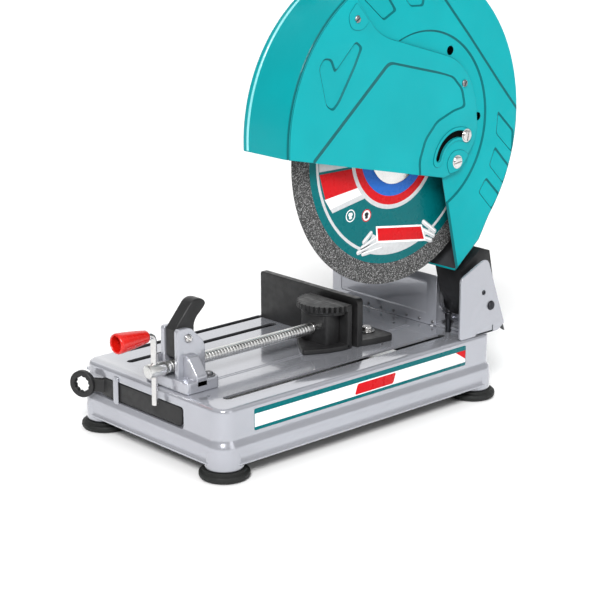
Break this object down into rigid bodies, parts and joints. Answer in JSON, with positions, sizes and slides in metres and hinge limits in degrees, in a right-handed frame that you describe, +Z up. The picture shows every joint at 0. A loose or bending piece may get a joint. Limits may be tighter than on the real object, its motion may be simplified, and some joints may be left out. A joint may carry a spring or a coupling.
{
  "type": "abrasive chop saw",
  "caption": "Bench abrasive chop saw: a spring-balanced head with wheel guard, swinging side cover and motor over a pressed steel base with a screw vice, mitre fence and rubber feet",
  "frame": {"origin": "on the floor under the middle of the whole saw's box at rest, head up", "axes": "+X towards the side the wheel is on, -Y towards the operator and the vice crank, +Y towards the head hinge, +Z up"},
  "size_m": [0.307, 0.606, 0.65],
  "materials": {
    "silver_enamel": "gloss",
    "teal_enamel": "gloss",
    "black_casting": "satin",
    "head_casting": "satin",
    "bright_steel": "polished",
    "dark_steel": "satin",
    "black_rubber": "matte",
    "red_plastic": "gloss",
    "black_plastic": "matte",
    "abrasive_wheel": "rough",
    "windings": "satin"
  },
  "bodies": {
    "base": {"base_shell": "silver_enamel", "foot_front_right": "black_rubber", "foot_front_left": "black_rubber", "foot_rear_right": "black_rubber", "foot_rear_left": "black_rubber", "spark_plate": "silver_enamel", "pivot_bracket": "silver_enamel", "pivot_shaft": "dark_steel", "torsion_spring": "bright_steel", "stop_screw": "dark_steel", "depth_stop_bolt": "dark_steel", "bracket_bolt_left": "dark_steel", "bracket_bolt_right": "dark_steel", "vice_bracket": "silver_enamel", "vice_bolt_left": "dark_steel", "vice_bolt_right": "dark_steel", "lever_pin": "bright_steel", "fence_pivot_bolt": "bright_steel", "wrench_clip": "silver_enamel"},
    "fence_arm": {"fence": "black_casting", "fence_clamp_bolt": "dark_steel"},
    "jaw_slide": {"jaw": "black_casting", "jaw_collar": "bright_steel"},
    "screw": {"vice_screw": "bright_steel", "crank_rod": "bright_steel"},
    "grip": {"crank_grip": "red_plastic"},
    "lever": {"vice_lever": "black_casting"},
    "wrench_tool": {"wrench": "black_casting"},
    "head": {"head_arm": "head_casting", "gear_case_cover": "head_casting", "spindle_bearing": "bright_steel", "motor_bearing": "bright_steel", "motor_housing": "teal_enamel", "motor_end_cap": "black_plastic", "field_core": "windings", "brush_cap_front": "black_plastic", "brush_cap_rear": "black_plastic", "wheel_guard": "teal_enamel", "cover_pivot_screw": "bright_steel", "cover_clamp_screw": "bright_steel", "handle_left": "black_plastic", "handle_right": "black_plastic", "handle_screw_lower": "dark_steel", "handle_screw_upper": "dark_steel", "switch_body": "black_plastic", "cord_inlet": "black_rubber"},
    "spindle_set": {"spindle": "bright_steel", "ring_gear": "bright_steel", "inner_flange": "bright_steel", "outer_flange": "bright_steel", "abrasive_disc": "abrasive_wheel", "arbor_bolt": "bright_steel"},
    "armature_set": {"armature": "windings", "drive_pinion": "bright_steel", "cooling_fan": "black_plastic"},
    "cover": {"side_cover": "teal_enamel", "cover_screw_top": "bright_steel", "cover_screw_rear": "bright_steel"},
    "trigger_key": {"trigger": "red_plastic"},
    "lock_button": {"spindle_lock_button": "red_plastic"}
  },
  "joints": [
    {"name": "head_pivot", "type": "hinge", "parent": "base", "child": "head", "pos_m": [0.1, 0.247, 0.132], "axis": [1, 0, 0], "range_deg": [0, 30], "stiffness_Nm_per_rad": 60, "springref_deg": -40.11},
    {"name": "cover_swing", "type": "hinge", "parent": "head", "child": "cover", "pos_m": [0.1316, 0.1804, 0.3401], "axis": [1, 0, 0], "range_deg": [-95, 0]},
    {"name": "spindle_spin", "type": "hinge", "parent": "head", "child": "spindle_set", "pos_m": [0.1065, 0.0887, 0.3655], "axis": [1, 0, 0], "continuous": true},
    {"name": "motor_spin", "type": "hinge", "parent": "head", "child": "armature_set", "pos_m": [-0.06, 0.1327, 0.4006], "axis": [1, 0, 0], "continuous": true},
    {"name": "screw_spin", "type": "hinge", "parent": "jaw_slide", "child": "screw", "pos_m": [0.025, -0.23, 0.12], "axis": [0, 1, 0], "range_deg": [-10800, 360]},
    {"name": "vice_slide", "type": "slide", "parent": "base", "child": "jaw_slide", "axis": [0, 1, 0], "range_m": [-0.15, 0.005]},
    {"name": "grip_spin", "type": "hinge", "parent": "screw", "child": "grip", "pos_m": [0.025, -0.28, 0.166], "axis": [0, 1, 0], "continuous": true},
    {"name": "lever_flip", "type": "hinge", "parent": "base", "child": "lever", "pos_m": [0.025, -0.204, 0.1565], "axis": [1, 0, 0], "range_deg": [0, 70]},
    {"name": "fence_angle", "type": "hinge", "parent": "base", "child": "fence_arm", "pos_m": [0.042, 0.1076, 0.097], "axis": [0, 0, 1], "range_deg": [-45, 0]},
    {"name": "wrench_pull", "type": "slide", "parent": "base", "child": "wrench_tool", "axis": [-1, 0, 0], "range_m": [0, 0.2]},
    {"name": "trigger_pull", "type": "slide", "parent": "head", "child": "trigger_key", "axis": [0, 0, 1], "range_m": [0, 0.005], "stiffness_N_per_m": 600, "springref_m": -0.003},
    {"name": "spindle_lock_push", "type": "slide", "parent": "head", "child": "lock_button", "axis": [0, 1, 0], "range_m": [0, 0.004], "stiffness_N_per_m": 500, "springref_m": -0.002}
  ],
  "couplings": [
    {"joint": "motor_spin", "follows": "spindle_spin", "ratio": -4},
    {"joint": "vice_slide", "follows": "screw_spin", "m_per_rad": 0.00079577}
  ]
}
